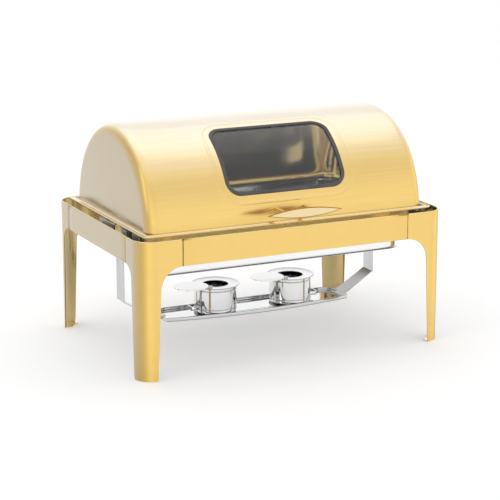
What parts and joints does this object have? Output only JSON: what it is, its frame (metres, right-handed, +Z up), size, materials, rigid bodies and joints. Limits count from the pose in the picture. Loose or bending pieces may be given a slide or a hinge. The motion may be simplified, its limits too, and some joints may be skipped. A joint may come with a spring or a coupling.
{
  "type": "roll top chafer",
  "caption": "Roll top chafer: half-barrel lid with a window that rolls back over a water pan and food pan, on a legged stand with hanging fuel holders.",
  "frame": {"origin": "on the floor, under the middle of the overall box of the closed chafer", "axes": "+X along the length, to the right when facing the handle; +Y from the handle side to the back; +Z up"},
  "size_m": [0.64, 0.46, 0.442],
  "materials": {
    "gold_sheet": "gold-coloured coating on polished stainless sheet",
    "mirror_steel": "mirror-polished stainless steel",
    "fastener_steel": "plain stainless steel",
    "dark_rubber": "satin silicone rubber",
    "clear_glass": "clear tempered glass",
    "white_nylon": "plain nylon"
  },
  "bodies": {
    "stand": {"leg_front_left": "gold_sheet", "leg_front_right": "gold_sheet", "leg_rear_left": "gold_sheet", "leg_rear_right": "gold_sheet", "rail_front": "gold_sheet", "rail_rear": "gold_sheet", "rail_left": "gold_sheet", "rail_right": "gold_sheet", "foot_front_left": "gold_sheet", "foot_front_right": "gold_sheet", "foot_rear_left": "gold_sheet", "foot_rear_right": "gold_sheet", "splices_front": "gold_sheet", "splices_rear": "gold_sheet", "splices_left": "gold_sheet", "splices_right": "gold_sheet", "splice_studs": "gold_sheet", "splice_nuts": "fastener_steel", "bracket_left": "fastener_steel", "bracket_right": "fastener_steel", "bracket_studs": "gold_sheet", "bracket_nuts": "fastener_steel", "pivot_bolt_left": "fastener_steel", "pivot_bolt_right": "fastener_steel", "pivot_nuts": "fastener_steel", "lid_bumpers": "dark_rubber", "pan_carrier": "mirror_steel", "carrier_screws": "fastener_steel", "hanger_left": "mirror_steel", "hanger_right": "mirror_steel", "hanger_screws": "fastener_steel", "fuel_tray": "mirror_steel", "tray_rivets": "fastener_steel"},
    "lid": {"lid_shell": "gold_sheet", "window_gasket": "dark_rubber", "window_glass": "clear_glass", "window_retainer": "fastener_steel", "retainer_clips": "fastener_steel", "lid_handle": "gold_sheet", "handle_posts": "gold_sheet", "handle_nuts": "fastener_steel", "lid_hub_left": "fastener_steel", "lid_hub_right": "fastener_steel", "hub_rivets": "fastener_steel", "pivot_bush_left": "white_nylon", "pivot_bush_right": "white_nylon"},
    "water_pan": {"water_pan": "mirror_steel"},
    "food_pan": {"food_pan": "mirror_steel"},
    "burner_left": {"burner_cup_left": "mirror_steel", "burner_top_left": "mirror_steel", "burner_lug_left": "mirror_steel", "cover_rivet_left": "fastener_steel"},
    "burner_right": {"burner_cup_right": "mirror_steel", "burner_top_right": "mirror_steel", "burner_lug_right": "mirror_steel", "cover_rivet_right": "fastener_steel"},
    "cover_left": {"burner_cover_left": "mirror_steel"},
    "cover_right": {"burner_cover_right": "mirror_steel"}
  },
  "joints": [
    {"name": "lid_roll", "type": "hinge", "parent": "stand", "child": "lid", "pos_m": [0, 0.013, 0.258], "axis": [-1, 0, 0], "range_deg": [0, 80]},
    {"name": "water_pan_lift", "type": "slide", "parent": "stand", "child": "water_pan", "axis": [0, 0, 1], "range_m": [0, 0.015]},
    {"name": "food_pan_lift", "type": "slide", "parent": "water_pan", "child": "food_pan", "axis": [0, 0, 1], "range_m": [0, 0.035]},
    {"name": "burner_left_lift", "type": "slide", "parent": "stand", "child": "burner_left", "axis": [0, 0, 1], "range_m": [0, 0.04]},
    {"name": "burner_right_lift", "type": "slide", "parent": "stand", "child": "burner_right", "axis": [0, 0, 1], "range_m": [0, 0.04]},
    {"name": "cover_left_swing", "type": "hinge", "parent": "burner_left", "child": "cover_left", "pos_m": [-0.10591, -0.03853, 0.1172], "axis": [0, 0, -1], "range_deg": [0, 94]},
    {"name": "cover_right_swing", "type": "hinge", "parent": "burner_right", "child": "cover_right", "pos_m": [0.05809, -0.03853, 0.1172], "axis": [0, 0, -1], "range_deg": [0, 94]}
  ]
}
